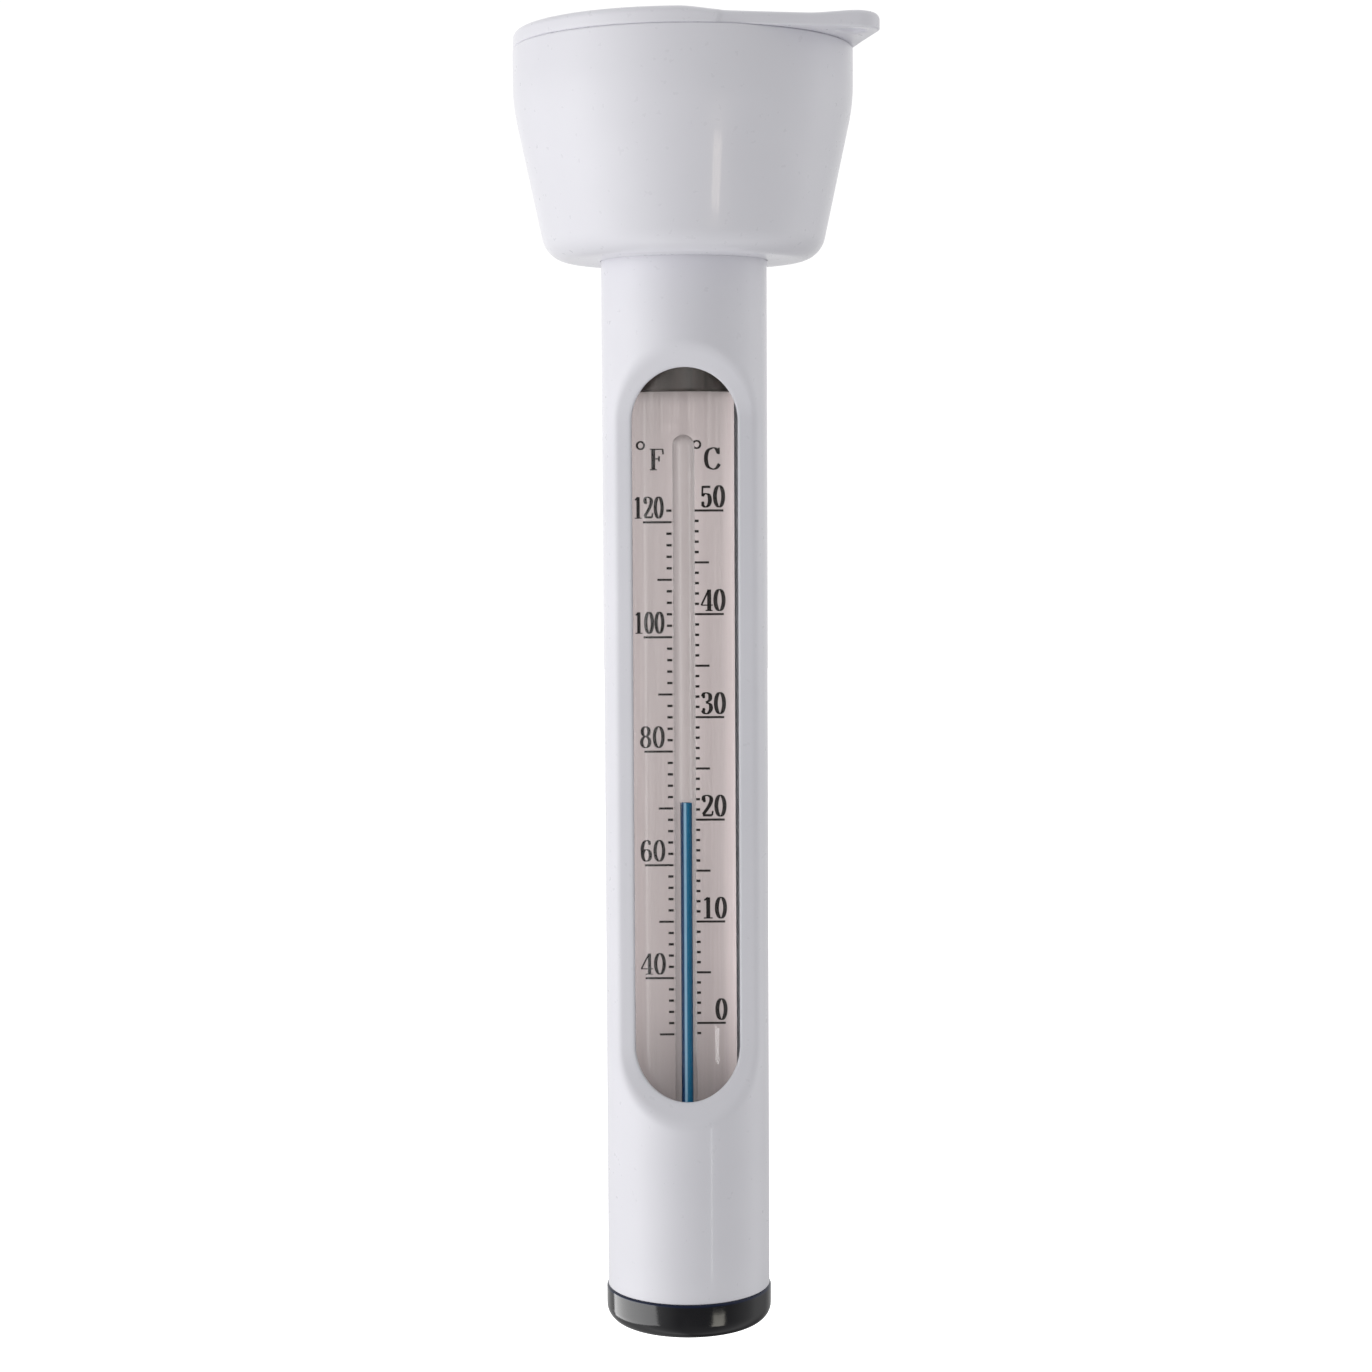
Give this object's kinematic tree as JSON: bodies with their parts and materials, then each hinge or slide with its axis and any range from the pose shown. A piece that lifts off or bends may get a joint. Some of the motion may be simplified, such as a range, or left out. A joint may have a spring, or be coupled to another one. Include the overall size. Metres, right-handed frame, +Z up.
{
  "type": "floating pool thermometer",
  "caption": "Upright floating thermometer: hollow float bowl, windowed tube with a metal scale and blue spirit, and a weighted end cap.",
  "frame": {"origin": "middle of the end cap's flat foot", "axes": "+Z up the body tube, -Y out of the window, +X to the right of the scale"},
  "size_m": [0.0482, 0.0456, 0.176],
  "materials": {
    "shell_plastic": "smooth white moulded plastic, semi-gloss",
    "seal_rubber": "black rubber, satin",
    "cap_plastic": "glossy black moulded plastic",
    "ballast_steel": "turned steel",
    "pad_foam": "grey closed-cell foam, matt",
    "stopper_rubber": "dark rubber, lightly streaked",
    "clear_tube": "clear, polished",
    "plate_metal": "brushed, printed in black",
    "stem_glass": "clear drawn glass",
    "blue_spirit": "blue dyed spirit",
    "clip_metal": "thin rolled strip"
  },
  "bodies": {
    "shell": {"float_bowl": "shell_plastic", "float_lid": "shell_plastic", "lid_seal": "seal_rubber", "body_tube": "shell_plastic", "flange_gasket": "seal_rubber", "cushion_pad": "pad_foam", "lower_stopper": "stopper_rubber", "upper_stopper": "stopper_rubber", "sight_tube": "clear_tube", "scale_plate": "plate_metal", "glass_stem": "stem_glass", "spirit_reservoir": "blue_spirit", "stem_clip": "clip_metal"},
    "cap": {"end_cap": "cap_plastic", "cap_o_ring": "seal_rubber", "ballast_weight": "ballast_steel"},
    "spirit": {"spirit_column": "blue_spirit"}
  },
  "joints": [
    {"name": "spirit_rise", "type": "slide", "parent": "shell", "child": "spirit", "axis": [0, 0, 1], "range_m": [-0.0309, 0.0398], "deforming": ["spirit_column"]},
    {"name": "cap_pull", "type": "slide", "parent": "shell", "child": "cap", "axis": [0, 0, -1], "range_m": [0, 0.012]}
  ]
}
